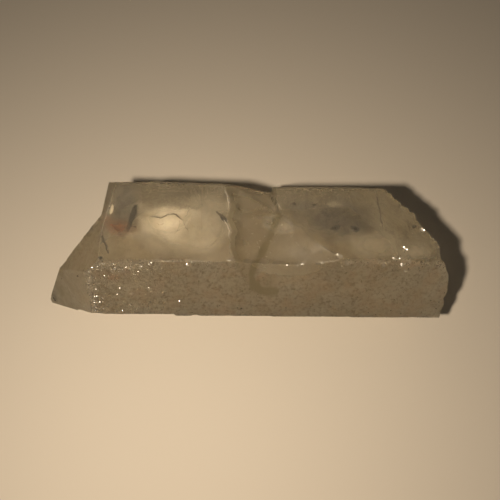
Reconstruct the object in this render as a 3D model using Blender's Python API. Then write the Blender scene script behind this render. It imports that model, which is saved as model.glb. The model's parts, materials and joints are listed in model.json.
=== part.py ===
"""A clear quartz crystal lying on one of its six prism faces, tip to the left (-X).

The crystal is one solid. Flat growth faces are cut from a block one after another, and then come
the marks of its history: a stepped corner at the tip, a long shell-shaped scar across the back of
the middle, the broken right end, growth ledges on the hidden sides and small chips along the edges.
"""

import math
import random

import bmesh
import bpy
from mathutils import Matrix, Vector, noise

MM = 0.001

# Driving dimensions, in the crystal's own frame: X along its long axis, Z up from the resting face.
HEIGHT = 22.0 * MM
AXIS_HEIGHT = HEIGHT / 2
PYRAMID_ANGLE = 128.2  # degrees between the long axis and the normal of a pyramid face
BLOCK_SIZE = 120.0 * MM

# Prism faces: name -> (turn about the long axis from straight up, distance from the axis, lean).
# The turn runs towards the front, and the lean is in degrees, so that the prism widens to the right.
PRISM_FACES = {
    "top": (0, 11.0 * MM, 0.0),
    "front_upper": (60, 12.5 * MM, 0.0),
    "front_lower": (120, 12.95 * MM, 0.2),
    "bottom": (180, 11.0 * MM, 0.0),
    "back_lower": (240, 13.4 * MM, 0.3),
    "back_upper": (301, 12.6 * MM, 0.0),
}

# The upper back face is in two plates that don't line up and meet at a step.
BACK_PLATES = {
    "back_left": (301, 11.45 * MM, -2.2),
    "back_right": (301, 11.03 * MM, 0.0),
}
STEP_X = 4.9 * MM

# End faces: name -> (turn, angle of the normal from the long axis, a point that the face holds).
END_FACES = {
    "main_pyramid": (0, PYRAMID_ANGLE, (-26.0 * MM, 0.0, 22.0 * MM)),
    "front_pyramid": (60, PYRAMID_ANGLE, (-28.6 * MM, -11.2 * MM, 16.6 * MM)),
    "front_low_pyramid": (120, PYRAMID_ANGLE, (-39.8 * MM, -9.5 * MM, 1.6 * MM)),
    "underside_pyramid": (180, PYRAMID_ANGLE, (-40.6 * MM, -8.6 * MM, 2.0 * MM)),
    "back_low_pyramid": (240, PYRAMID_ANGLE, (-40.8 * MM, -8.2 * MM, 2.4 * MM)),
}

# The narrow bevel between the top and the main pyramid face, and the two walls of the step behind it.
BEVEL_NORMAL = (-0.566, 0.098, 0.819)
BEVEL_POINT = (-26.25 * MM, -4.0 * MM, 22.0 * MM)
STEP_FACE_NORMAL = (-0.746, 0.618, 0.249)
STEP_FACE_POINT = (-30.3 * MM, -2.3 * MM, 18.6 * MM)
STEP_WALL_NORMAL = (-0.980, 0.060, -0.190)
STEP_WALL_POINT = (-26.35 * MM, 3.0 * MM, 21.2 * MM)

# The scar. Its left rim and its corner with the right block, in plan, and the slopes of its faces.
RIDGE_Y = -8.1 * MM
BACK_EDGE_Y = 7.4 * MM
PRISM_SLOPE = math.tan(math.radians(60))
SCAR_LEFT_RIM = (
    (-10.0 * MM, 0.2 * MM),
    (-9.2 * MM, -1.8 * MM),
    (-8.0 * MM, -2.7 * MM),
    (-4.0 * MM, -2.9 * MM),
    (0.0 * MM, -3.2 * MM),
    (3.5 * MM, -3.4 * MM),
    (5.5 * MM, -4.3 * MM),
    (14.0 * MM, -4.8 * MM),
)
SCAR_CORNER = Vector((5.6 * MM, 1.6 * MM))
SCAR_DIAGONAL = Vector((0.751, -0.660))
SCAR_CREASE = Vector((-0.452, -0.892))
SCAR_BACK_RIM = Vector((-0.817, 0.577))
SCAR_WALL_SLOPE = 0.55
SCAR_FLOOR_DEPTH = 1.25 * MM
SCAR_RIGHT_SLOPE = 0.30
SCAR_LIP = 0.18 * MM
SCAR_DIAGONAL_SLOPE = 2.0
SCAR_CREASE_STEP = 0.55 * MM
SCAR_CREASE_WIDTH = 0.9 * MM
SCAR_CREASE_GROWTH = 9.0 * MM  # the crease reaches its full step this far from the corner
SCAR_BACK_SLOPE = 0.9
SCAR_FRONT = (7.5 * MM, -11.6 * MM)  # the lowest point of its curved front edge, in plan
SCAR_FRONT_CURVE = 28.0  # 1/metres
SCAR_FRONT_SLOPE = 0.42
BLOCK_WALL_SLOPE = 6.0
BLOCK_WALL_SKEW = 0.27
OPEN_SLOPE = 3.5
OUTSIDE = 0.8 * MM  # how far a sheet stands off the crystal where it cuts nothing
SCAR_WAVES = ((0.07 * MM, 1.6 * MM), (0.12 * MM, 4.5 * MM))  # (height, size) of its unevenness
SCAR_CELL = 0.75 * MM
SCAR_BOX = (-7.0 * MM, 19.5 * MM, -13.0 * MM, 13.0 * MM)

# The flake that left the upper back face beside the scar: its depth below that face along X.
SPALL_DEPTH = (
    (-5.5 * MM, -0.80 * MM),
    (-3.2 * MM, 0.00 * MM),
    (-0.4 * MM, 0.62 * MM),
    (2.5 * MM, 1.30 * MM),
    (5.0 * MM, 1.75 * MM),
)
SPALL_WAVES = ((0.12 * MM, 3.5 * MM),)
SPALL_CELL = 1.1 * MM
SPALL_BOX = (-7.0 * MM, STEP_X + 0.15 * MM, -5.0 * MM, 21.0 * MM)

# The broken end: its line in plan, front to back, and the size of the flakes that left it.
BREAK_LINE = (
    (-14.8 * MM, 36.2 * MM),
    (-10.9 * MM, 35.6 * MM),
    (-9.4 * MM, 35.1 * MM),
    (-8.0 * MM, 33.5 * MM),
    (-5.0 * MM, 33.3 * MM),
    (-2.5 * MM, 31.8 * MM),
    (-1.0 * MM, 30.6 * MM),
    (1.6 * MM, 29.4 * MM),
    (2.9 * MM, 27.8 * MM),
    (6.2 * MM, 25.0 * MM),
    (15.0 * MM, 19.5 * MM),
)
BREAK_CELL = 0.95 * MM
BREAK_LEAN = 0.06
BREAK_FLAKE = 3.0 * MM
BREAK_RELIEF = 0.55 * MM
BREAK_ROUNDING = 1.6
BREAK_WAVES = ((0.15 * MM, 1.4 * MM),)
BREAK_SWELLS = ((0.6 * MM, 7.0 * MM),)
BREAK_CALM_TOP = 8.0 * MM  # the relief grows to its full size over this distance from the top edge
BREAK_CALM_SHARE = 0.25
BREAK_BOX = (-19.0 * MM, 19.0 * MM, -8.0 * MM, 30.0 * MM)
UNEVENNESS = 0.35  # how far the points of a broken surface leave their even grid, in cells


# Growth ledges, where a layer of a prism face is missing: (face, left end, right end, depth, skew).
FAR_LEFT = -60.0 * MM
LEDGES = (
    ("back_left", FAR_LEFT, -19.5 * MM, 0.25 * MM, 0.05),
    ("back_lower", FAR_LEFT, 12.0 * MM, 0.28 * MM, -0.10),
    ("back_lower", FAR_LEFT, 2.0 * MM, 0.60 * MM, 0.16),
    ("back_lower", FAR_LEFT, -9.5 * MM, 1.00 * MM, -0.05),
    ("front_lower", FAR_LEFT, 20.0 * MM, 0.12 * MM, 0.12),
    ("front_lower", FAR_LEFT, 4.0 * MM, 0.25 * MM, -0.08),
    ("front_lower", -33.0 * MM, -13.0 * MM, 0.60 * MM, 0.06),
    ("bottom", FAR_LEFT, -21.0 * MM, 0.45 * MM, 0.15),
)
LEDGE_SLOPE = 0.8

# Single chips: (place on an edge, radius, depth, stretch along X), in millimetres.
SINGLE_CHIPS = (
    ((-25.3, -8.1, 22.0), 1.3, 0.40, 1.2),
    ((-30.4, -2.4, 18.5), 1.6, 0.35, 0.8),
    ((-33.2, -5.2, 16.3), 2.6, 0.20, 1.0),
    ((-40.2, -8.6, 3.4), 1.2, 0.30, 1.0),
    ((-28.6, -14.3, 11.0), 2.6, 0.45, 1.6),
    ((16.6, -8.1, 22.0), 2.0, 0.55, 1.1),
    ((22.6, -8.1, 22.0), 2.2, 0.35, 1.5),
    ((26.8, -8.1, 22.0), 2.0, 0.50, 1.2),
    ((5.7, -14.9, 10.7), 1.0, 0.40, 0.8),
    ((30.6, -15.0, 10.5), 1.3, 0.50, 0.9),
    ((29.2, 1.8, 22.0), 1.6, 0.55, 0.8),
    ((33.0, -6.0, 22.0), 2.0, 0.40, 0.7),
    ((-13.0, 14.6, 9.7), 2.4, 0.60, 1.6),
    ((14.0, 14.2, 9.6), 2.8, 0.75, 1.4),
    ((-4.0, 9.2, 0.0), 2.2, 0.50, 1.7),
    ((13.5, -8.6, 0.0), 2.0, 0.45, 1.6),
    ((-15.0, 7.5, 22.0), 1.4, 0.25, 1.6),
)

# Rows of small chips along an edge: (start, end, how many, smallest and largest radius, depth).
CHIP_ROWS = (
    ((-23.5, -8.1, 22.0), (-6.0, -8.1, 22.0), 6, 0.6, 1.3, 0.16),
    ((18.5, -8.1, 22.0), (32.0, -8.1, 22.0), 5, 0.8, 1.6, 0.22),
    ((-27.0, 0.7, 21.2), (-34.5, -6.4, 15.3), 4, 0.7, 1.6, 0.18),
    ((-28.0, -14.7, 11.0), (34.0, -15.1, 10.5), 11, 0.6, 1.6, 0.18),
    ((8.0, 6.2, 22.0), (23.0, 6.2, 22.0), 4, 0.6, 1.2, 0.16),
    ((-18.0, 14.6, 9.7), (17.0, 14.4, 9.6), 7, 0.8, 2.0, 0.25),
    ((-34.6, -6.8, 14.8), (-38.2, -9.2, 6.8), 2, 0.9, 1.6, 0.20),
)
CHIP_SEED = 23
CHIP_ROUGHNESS = 0.12
BODY_LEFT = -24.0 * MM
BODY_RIGHT = 28.0 * MM

QUARTZ_COLOUR = (0.62, 0.60, 0.50, 1.0)
QUARTZ_ROUGHNESS = 0.12


def clear_scene():
    for obj in list(bpy.data.objects):
        bpy.data.objects.remove(obj, do_unlink=True)


def new_collection(name):
    collection = bpy.data.collections.new(name)
    bpy.context.scene.collection.children.link(collection)
    return collection


def new_object(name, bm, collection, frame):
    bmesh.ops.recalc_face_normals(bm, faces=bm.faces)
    mesh = bpy.data.meshes.new(name)
    bm.to_mesh(mesh)
    bm.free()
    obj = bpy.data.objects.new(name, mesh)
    obj.parent = frame
    collection.objects.link(obj)
    return obj


def face_normal(turn, from_axis):
    """The outward normal of a face that is turned about X, from straight up towards the front."""
    turn = math.radians(turn)
    from_axis = math.radians(from_axis)
    across = math.sin(from_axis)
    return Vector((math.cos(from_axis), -across * math.sin(turn), across * math.cos(turn)))


def cut_off(bm, point, normal):
    """Removes what lies on the outer side of a plane and closes the hole with one flat face."""
    cut = bmesh.ops.bisect_plane(
        bm,
        geom=bm.verts[:] + bm.edges[:] + bm.faces[:],
        dist=1e-7,
        plane_co=point,
        plane_no=normal,
        clear_outer=True,
    )
    rim = [item for item in cut["geom_cut"] if isinstance(item, bmesh.types.BMEdge)]
    if rim:
        bmesh.ops.contextual_create(bm, geom=rim)


def prism_plane(name):
    """A point and the outward normal of a prism face or a plate of one."""
    turn, distance, lean = {**PRISM_FACES, **BACK_PLATES}[name]
    normal = face_normal(turn, 90 + lean)
    return Vector((0, 0, AXIS_HEIGHT)) + normal * distance, normal




def make_growth_faces():
    """The convex crystal: six prism faces, five pyramid faces and one bevel, cut from a block."""
    bm = bmesh.new()
    bmesh.ops.create_cube(bm, size=BLOCK_SIZE)
    for name in PRISM_FACES:
        cut_off(bm, *prism_plane(name))
    for turn, from_axis, point in END_FACES.values():
        cut_off(bm, Vector(point), face_normal(turn, from_axis))
    cut_off(bm, Vector(BEVEL_POINT), Vector(BEVEL_NORMAL))
    return bm


def make_corner_step():
    """A wedge that takes the back of the tip away but leaves the top corner standing proud."""
    bm = bmesh.new()
    bmesh.ops.create_cube(bm, size=BLOCK_SIZE)
    cut_off(bm, Vector(STEP_FACE_POINT), -Vector(STEP_FACE_NORMAL))
    cut_off(bm, Vector(STEP_WALL_POINT), -Vector(STEP_WALL_NORMAL))
    return bm


def interpolate(points, at):
    """The value at a place on a line through (place, value) points, held beyond its ends."""
    for (low, first), (high, second) in zip(points, points[1:]):
        if at <= high:
            share = min(max((at - low) / (high - low), 0.0), 1.0)
            return first + (second - first) * share
    return points[-1][1]


def smooth_share(value):
    value = min(max(value, 0.0), 1.0)
    return value * value * (3 - 2 * value)


def roof_height(y):
    """The height of the unbroken crystal: flat on top, falling at 60 degrees on both sides."""
    front = HEIGHT - PRISM_SLOPE * max(RIDGE_Y - y, 0.0)
    back = HEIGHT - PRISM_SLOPE * max(y - BACK_EDGE_Y, 0.0)
    return min(front, back)


def scar_depth(x, y):
    """How far the scar lies below the roof; below zero outside it."""
    place = Vector((x, y)) - SCAR_CORNER
    wall = SCAR_WALL_SLOPE * (x - interpolate(SCAR_LEFT_RIM, y))

    across_diagonal = place.dot(Vector((SCAR_DIAGONAL.y, -SCAR_DIAGONAL.x)))
    right = SCAR_LIP + SCAR_RIGHT_SLOPE * max(across_diagonal, 0.0)
    right += SCAR_DIAGONAL_SLOPE * min(across_diagonal, 0.0)
    behind_corner = smooth_share((place.y + 0.6 * MM) / (2.5 * MM))
    opened = OPEN_SLOPE * max(-place.x, 0.0) + SCAR_DIAGONAL_SLOPE * max(-across_diagonal, 0.0)
    kept = BLOCK_WALL_SLOPE * max(place.x + BLOCK_WALL_SKEW * place.y, 0.0)
    right += behind_corner * (opened - kept)

    behind_rim = place.dot(Vector((SCAR_BACK_RIM.y, -SCAR_BACK_RIM.x)))
    floor = SCAR_FLOOR_DEPTH + SCAR_BACK_SLOPE * max(behind_rim, 0.0)
    past_crease = place.dot(Vector((-SCAR_CREASE.y, SCAR_CREASE.x)))
    along_crease = smooth_share(place.dot(SCAR_CREASE) / SCAR_CREASE_GROWTH)
    floor += SCAR_CREASE_STEP * along_crease * smooth_share(past_crease / SCAR_CREASE_WIDTH + 0.5)

    front_edge = SCAR_FRONT[1] + SCAR_FRONT_CURVE * (x - SCAR_FRONT[0]) ** 2
    front = SCAR_FRONT_SLOPE * (y - front_edge)
    return max(min(wall, right, floor, front), -OUTSIDE)


def uneven(place, waves):
    """Smooth unevenness, the sum of waves that each have a height and a size."""
    return sum(height * noise.noise(place / size) for height, size in waves)


def scar_surface(x, y):
    place = Vector((x, y, 0))
    return Vector((x, y, roof_height(y) - scar_depth(x, y) + uneven(place, SCAR_WAVES)))


def spall_surface(along, down):
    """A point of the flaked upper back face, from its place along X and down the slope."""
    point, normal = prism_plane("back_left")
    upwards = Vector((1, 0, 0)).cross(normal).normalized()
    top_edge = point + upwards * ((HEIGHT - point.z) / upwards.z)
    depth = interpolate(SPALL_DEPTH, along) + uneven(Vector((along, down, 0)), SPALL_WAVES)
    place = top_edge - upwards * down - normal * depth
    return Vector((along, place.y, place.z))


def break_surface(y, z):
    below_top = (HEIGHT - z) / BREAK_CALM_TOP + BREAK_CALM_SHARE
    relief = min(max(below_top, BREAK_CALM_SHARE), 1.0) * flake_relief(y, z)
    x = interpolate(BREAK_LINE, y) - BREAK_LEAN * (HEIGHT - z)
    return Vector((x + relief + uneven(Vector((0, y, z)), BREAK_WAVES), y, z))


def flake_relief(y, z):
    """Shell-like flakes: low domes that meet in sharp valleys."""
    distances, _ = noise.voronoi(Vector((y, z, 0)) / BREAK_FLAKE)
    dome = 0.5 - BREAK_ROUNDING * distances[0] ** 2
    return BREAK_RELIEF * dome + uneven(Vector((y, z, 0)), BREAK_SWELLS)


def make_sheet(box, cell, surface):
    """A grid of uneven cells laid on a broken surface."""
    low_u, high_u, low_v, high_v = box
    bm = bmesh.new()
    columns = round((high_u - low_u) / cell)
    rows = round((high_v - low_v) / cell)
    bmesh.ops.create_grid(bm, x_segments=columns, y_segments=rows, size=0.5)
    for vert in bm.verts:
        inner = abs(vert.co.x) < 0.499 and abs(vert.co.y) < 0.499
        u = low_u + (vert.co.x + 0.5) * (high_u - low_u)
        v = low_v + (vert.co.y + 0.5) * (high_v - low_v)
        place = Vector((u, v, 0))
        if inner:
            shift = noise.noise_vector(place / cell)
            u += UNEVENNESS * cell * shift.x
            v += UNEVENNESS * cell * shift.y
        vert.co = surface(u, v)
    return bm


def raise_to_block(bm, direction):
    """Closes an open sheet into a block by drawing a copy of it out to a flat level."""
    made = bmesh.ops.extrude_face_region(bm, geom=bm.faces[:], use_keep_orig=True)
    for item in made["geom"]:
        if isinstance(item, bmesh.types.BMVert):
            item.co += direction * (BLOCK_SIZE - item.co.dot(direction))
    return bm


def make_scar():
    return raise_to_block(make_sheet(SCAR_BOX, SCAR_CELL, scar_surface), Vector((0, 0, 1)))


def make_spall():
    normal = prism_plane("back_left")[1]
    sheet = make_sheet(SPALL_BOX, SPALL_CELL, spall_surface)
    return raise_to_block(sheet, Vector((0, normal.y, normal.z)).normalized())


def make_broken_end():
    return raise_to_block(make_sheet(BREAK_BOX, BREAK_CELL, break_surface), Vector((1, 0, 0)))


def make_back_plate(name, side):
    """A slab that takes the upper back face down to a plate, left (-1) or right (1) of the step."""
    point, normal = prism_plane(name)
    bm = bmesh.new()
    bmesh.ops.create_cube(bm, size=BLOCK_SIZE)
    cut_off(bm, point, -normal)
    cut_off(bm, Vector((STEP_X, 0, 0)), Vector((-side, 0, 0)))
    return bm


def make_ledge(face, left_end, right_end, depth, skew):
    """A slab that takes a thin layer off a prism face, up to a slanted ledge at each end."""
    point, normal = prism_plane(face)
    bm = bmesh.new()
    bmesh.ops.create_cube(bm, size=3 * BLOCK_SIZE)
    cut_off(bm, point - normal * depth, -normal)
    along_face = normal.cross(Vector((1, 0, 0))).normalized()
    lift = along_face * skew - normal * (1 - LEDGE_SLOPE)
    cut_off(bm, Vector((right_end, point.y, point.z)), Vector((LEDGE_SLOPE, 0, 0)) + lift)
    cut_off(bm, Vector((left_end, point.y, point.z)), Vector((-LEDGE_SLOPE, 0, 0)) + lift)
    return bm


def make_chip(place, radius, depth, stretch, turn):
    """An uneven low-poly ball that takes one shallow flake off an edge."""
    inside = Vector((min(max(place.x, BODY_LEFT), BODY_RIGHT), 0, AXIS_HEIGHT))
    centre = place + (place - inside).normalized() * (radius - depth)
    bm = bmesh.new()
    bmesh.ops.create_icosphere(bm, subdivisions=2, radius=1.0)
    for vert in bm.verts:
        vert.co *= 1.0 + CHIP_ROUGHNESS * noise.noise(vert.co * 1.7 + centre * 900)
    shape = Matrix.Translation(centre) @ Matrix.Rotation(turn, 4, "Z")
    shape = shape @ Matrix.Diagonal((radius * stretch, radius, radius, 1.0))
    bmesh.ops.transform(bm, matrix=shape, verts=bm.verts)
    return bm


def chip_list():
    """Every chip as (place, radius, depth, stretch, turn), single ones first and then the rows."""
    rng = random.Random(CHIP_SEED)
    for place, radius, depth, stretch in SINGLE_CHIPS:
        yield Vector(place) * MM, radius * MM, depth * MM, stretch, rng.uniform(-0.3, 0.3)
    for start, end, count, smallest, largest, depth in CHIP_ROWS:
        for number in range(count):
            along = (number + rng.uniform(0.05, 0.95)) / count
            place = Vector(start).lerp(Vector(end), along) * MM
            radius = rng.uniform(smallest, largest) * MM
            stretch = rng.uniform(0.8, 2.0)
            yield place, radius, depth * rng.uniform(0.5, 1.2) * MM, stretch, rng.uniform(-0.7, 0.7)


def quartz_material():
    material = bpy.data.materials.new("quartz")
    material.use_nodes = True
    shader = material.node_tree.nodes["Principled BSDF"]
    shader.inputs["Base Color"].default_value = QUARTZ_COLOUR
    shader.inputs["Metallic"].default_value = 0.0
    shader.inputs["Roughness"].default_value = QUARTZ_ROUGHNESS
    shader.inputs["IOR"].default_value = 1.544
    return material


def cut_with_all(obj, collection):
    """Takes every cutter of a collection off the object in one exact cut."""
    for cutter in collection.objects:
        cutter.hide_render = True
        cutter.display_type = "WIRE"
    modifier = obj.modifiers.new(collection.name, "BOOLEAN")
    modifier.operation = "DIFFERENCE"
    modifier.solver = "EXACT"
    modifier.operand_type = "COLLECTION"
    modifier.collection = collection


def stand_at_origin(obj, frame):
    """Moves the whole frame so that the bottom centre of the crystal's box is at the origin."""
    bpy.context.view_layer.update()
    crystal = obj.evaluated_get(bpy.context.evaluated_depsgraph_get())
    corners = [crystal.matrix_world @ Vector(corner) for corner in crystal.bound_box]
    low = Vector([min(corner[axis] for corner in corners) for axis in range(3)])
    high = Vector([max(corner[axis] for corner in corners) for axis in range(3)])
    frame.location -= Vector(((low.x + high.x) / 2, (low.y + high.y) / 2, low.z))


def build():
    clear_scene()
    parts = new_collection("quartz_crystal")
    cutters = new_collection("cutters")
    frame = bpy.data.objects.new("crystal_frame", None)
    parts.objects.link(frame)

    crystal = new_object("quartz_crystal", make_growth_faces(), parts, frame)
    crystal.data.materials.append(quartz_material())

    shapes = {
        "cut_corner_step": make_corner_step(),
        "cut_back_left": make_back_plate("back_left", -1),
        "cut_back_right": make_back_plate("back_right", 1),
        "cut_scar": make_scar(),
        "cut_spall": make_spall(),
        "cut_broken_end": make_broken_end(),
    }
    for number, ledge in enumerate(LEDGES):
        shapes[f"cut_ledge_{number}"] = make_ledge(*ledge)
    for number, chip in enumerate(chip_list()):
        shapes[f"cut_chip_{number}"] = make_chip(*chip)
    for name, bm in shapes.items():
        new_object(name, bm, cutters, frame)
    cut_with_all(crystal, cutters)
    stand_at_origin(crystal, frame)


build()
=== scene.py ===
import json
import math
import random

import bmesh
import bpy
from mathutils import Euler, Matrix, Vector, noise

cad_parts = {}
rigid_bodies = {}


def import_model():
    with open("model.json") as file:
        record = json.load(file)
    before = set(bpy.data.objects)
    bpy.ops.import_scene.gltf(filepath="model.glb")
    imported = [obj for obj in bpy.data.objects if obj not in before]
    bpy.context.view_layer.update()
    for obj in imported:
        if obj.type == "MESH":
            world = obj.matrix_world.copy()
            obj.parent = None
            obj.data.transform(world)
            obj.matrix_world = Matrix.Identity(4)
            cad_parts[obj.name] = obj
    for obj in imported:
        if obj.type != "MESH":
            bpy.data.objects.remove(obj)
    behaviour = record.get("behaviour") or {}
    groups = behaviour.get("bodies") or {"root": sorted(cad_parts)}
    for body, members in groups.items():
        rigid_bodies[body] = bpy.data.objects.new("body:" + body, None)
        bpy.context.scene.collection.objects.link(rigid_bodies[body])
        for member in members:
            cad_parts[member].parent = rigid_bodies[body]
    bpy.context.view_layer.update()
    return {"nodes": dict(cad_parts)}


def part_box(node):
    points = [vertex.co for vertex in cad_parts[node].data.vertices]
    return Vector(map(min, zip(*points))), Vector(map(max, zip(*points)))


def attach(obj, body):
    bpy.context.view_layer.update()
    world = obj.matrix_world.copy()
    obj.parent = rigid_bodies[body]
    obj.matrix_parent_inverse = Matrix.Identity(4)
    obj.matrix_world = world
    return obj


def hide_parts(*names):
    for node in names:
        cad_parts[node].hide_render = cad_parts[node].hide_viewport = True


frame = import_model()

mm = 0.001
noise.seed_set(8)  # the noise vectors come out the same each time
print("frame loaded:", ", ".join(frame["nodes"]))


crystal = {
    "height": 22.0 * mm,
    "axisHeight": 11.0 * mm,
    "blockSize": 120.0 * mm,
    "cutterReach": 72.0 * mm,  # how far a cutting block is drawn out
    "pyramidAngle": 128.2,  # from the long axis to a tip face's normal
    "bevel": ((-26.25, -4.0, 22.0), (-0.566, 0.098, 0.819)),
    "stepFace": ((-30.3, -2.3, 18.6), (-0.746, 0.618, 0.249)),
    "stepWall": ((-26.35, 3.0, 21.2), (-0.980, 0.060, -0.190)),
    "smallest": 0.0005 * mm,  # corners nearer than this are one
    "sharpAngle": 28,  # degrees
    "flatFace": 3.0 * mm * mm,  # faces larger than this keep a hard border
}

# turn about the long axis, distance from it in mm, lean in degrees
prismFaces = {
    "top": (0, 11.0, 0.0),
    "frontUpper": (60, 12.5, 0.0),
    "frontLower": (120, 12.95, 0.2),
    "bottom": (180, 11.0, 0.0),
    "backLower": (240, 13.4, 0.3),
    "backUpper": (301, 12.6, 0.0),
    "backLeft": (301, 11.45, -2.2),
    "backRight": (301, 11.03, 0.0),
}

# turn, and a point in mm that the face goes through
tipFaces = {
    "mainTip": (0, (-26.0, 0.0, 22.0)),
    "frontTip": (60, (-28.6, -11.2, 16.6)),
    "frontLowTip": (120, (-39.8, -9.5, 1.6)),
    "undersideTip": (180, (-40.6, -8.6, 2.0)),
    "backLowTip": (240, (-40.8, -8.2, 2.4)),
}

# layers missing from a face: from, to, depth and skew, in mm
missingLayers = {
    "backLeft": ((-90, -19.5, 0.25, 0.05),),
    "backLower": ((-90, 12.0, 0.28, -0.10), (-90, 2.0, 0.60, 0.16), (-90, -9.5, 1.00, -0.05)),
    "frontLower": ((-90, 20.0, 0.12, 0.12), (-90, 4.0, 0.25, -0.08), (-33.0, -13.0, 0.60, 0.06)),
}
layerEdge = 0.35  # how softly a layer ends, in mm

# a swell is a pair of numbers: its height and its size
striation = {  # fine ledges that run across a prism face
    "bend": 0.5,
    "bendSize": 6.0 * mm,
    "coarse": (2.6 * mm, 40.0 * mm),  # size along the crystal and across it
    "fine": (0.55 * mm, 15.0 * mm),
    "steps": 3,
    "stepBlur": 0.4,
    "mean": 0.7,
    "ledges": 0.6,
    "threads": 0.25,
    "sunk": 0.02 * mm,
}
etching = {  # small pits, thick on the left and sparse on the right
    "pits": (0.75 * mm, 0.60 * mm, 0.55, 0.07 * mm),  # cell along and down, reach, depth
    "smallPits": (0.34 * mm, 0.30 * mm, 0.45, 0.06 * mm),
    "smallElsewhere": 0.3,
    "denseEnd": 6.0 * mm,
    "denseRun": 16.0 * mm,
    "fewest": 0.35,
    "patches": (1.2, 3.2 * mm),
    "patchDensity": 0.5,
    "sunk": 0.03 * mm,
    "swell": (0.02 * mm, 2.2 * mm),
}
hillocks = {"size": 2.4 * mm, "rise": 0.035 * mm, "sunk": 0.05 * mm, "swell": (0.012 * mm, 1.1 * mm)}
underside = {
    "ledge": 0.45 * mm,  # how far the left end stays clear of the ground
    "ledgeEnd": -19.5 * mm,
    "ledgeRun": 4.0 * mm,
    "ledgeSwell": (2.0 * mm, 4.0 * mm),
    "sunk": 0.03 * mm,
    "swell": (0.02 * mm, 1.5 * mm),
}
calmFace = {"sunk": 0.014 * mm, "swells": ((0.006 * mm, 5.0 * mm), (0.003 * mm, 1.6 * mm))}
gridShift = {"amount": 0.3, "pitch": 0.71}  # keeps a cutting grid from being regular, in cells

scar = {
    "ridgeY": -8.1 * mm,  # front and back edge of the top face
    "backEdgeY": 7.4 * mm,
    "prismSlope": math.tan(math.radians(60)),
    "leftRim": (  # y, x
        (-10.0, 0.2), (-9.2, -1.8), (-8.1, -2.3), (-5.3, -3.0), (-3.4, -3.1), (-2.1, -2.7),
        (-0.4, -3.4), (0.3, -3.9), (1.1, -3.5), (2.7, -3.1), (4.2, -3.5), (6.0, -4.1), (14.0, -4.8),
    ),
    "corner": Vector((5.6 * mm, 1.6 * mm)),  # its diagonal, crease and back rim start here
    "diagonal": Vector((0.751, -0.660)),  # border of the raised block
    "crease": Vector((-0.452, -0.892)),
    "backRim": Vector((-0.817, 0.577)),
    "wallSlope": 0.55,
    "wallWobble": (0.16 * mm, 1.1 * mm, 3.0 * mm),  # height, size and seed
    "floorDepth": 1.25 * mm,
    "rightSlope": 0.30,
    "lip": 0.01 * mm,
    "diagonalSlope": 3.0,
    "raggedReach": 0.9 * mm,
    "raggedWobble": (0.40 * mm, 1.9 * mm, 5.0 * mm),
    "raggedGrain": (0.14 * mm, 0.7 * mm, 9.0 * mm),
    "creaseStep": 0.55 * mm,
    "creaseWidth": 0.9 * mm,
    "creaseGrowth": 9.0 * mm,
    "backSlope": 0.9,
    "front": (7.5 * mm, -11.6 * mm),  # lowest point of its front end
    "frontCurve": 28.0,
    "frontSlope": 0.42,
    "blockWallSlope": 6.0,
    "blockWallSkew": 0.27,
    "openSlope": 3.5,
    "openFrom": -0.6 * mm,
    "openRun": 2.5 * mm,
    "outside": 0.8 * mm,
    "blend": 0.28 * mm,  # how softly its faces run into each other
    "swells": ((0.10 * mm, 4.5 * mm), (0.03 * mm, 1.7 * mm)),
    "rippleCentre": (-1.5, 9.0),
    "rippleHeight": 0.012 * mm,
    "ripplePitch": 0.42 * mm,
    "rippleBend": (2.0, 2.0 * mm),
    "ripplePatches": (1.0, 3.0 * mm),
    "rippleMean": 0.5,
    "cell": 0.20 * mm,
    "box": (-7.0, 19.5, -13.0, 13.0),
}

spall = {
    "depth": ((-5.5, -0.80), (-3.2, 0.0), (-0.4, 0.62), (2.5, 1.30), (5.0, 1.75)),  # x, depth
    "swells": ((0.12 * mm, 3.5 * mm), (0.03 * mm, 0.9 * mm)),
    "cell": 0.35 * mm,
    "box": (-7.0, 5.05, -5.0, 21.0),
}

brokenEnd = {
    "line": (  # y, x
        (-14.8, 36.2), (-10.9, 35.6), (-9.4, 35.1), (-8.0, 33.5), (-5.0, 33.3), (-2.5, 31.8),
        (-1.0, 30.6), (1.6, 29.4), (2.9, 27.8), (6.2, 25.0), (15.0, 19.5),
    ),
    "lean": 0.06,
    "flake": 3.0 * mm,
    "relief": 0.55 * mm,
    "rounding": 1.6,
    "flakeMean": 0.5,
    "smallFlake": 1.05 * mm,
    "smallRelief": 0.16 * mm,
    "smallMean": 0.4,
    "swell": (0.6 * mm, 7.0 * mm),
    "grain": (0.15 * mm, 1.4 * mm),
    "calmTop": 8.0 * mm,
    "calmShare": 0.25,
    "scallop": 0.42 * mm,  # bites along the upper back half of the break
    "scallopPitch": 1.45 * mm,
    "scallopBend": (0.6, 2.5 * mm, 4.0 * mm),
    "scallopMean": 0.6,
    "scallopFrom": -2.0 * mm,
    "scallopRun": 2.0 * mm,
    "scallopReach": 4.0 * mm,
    "cell": 0.26 * mm,
    "box": (-17.0, 17.0, -3.0, 25.0),
}

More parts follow.
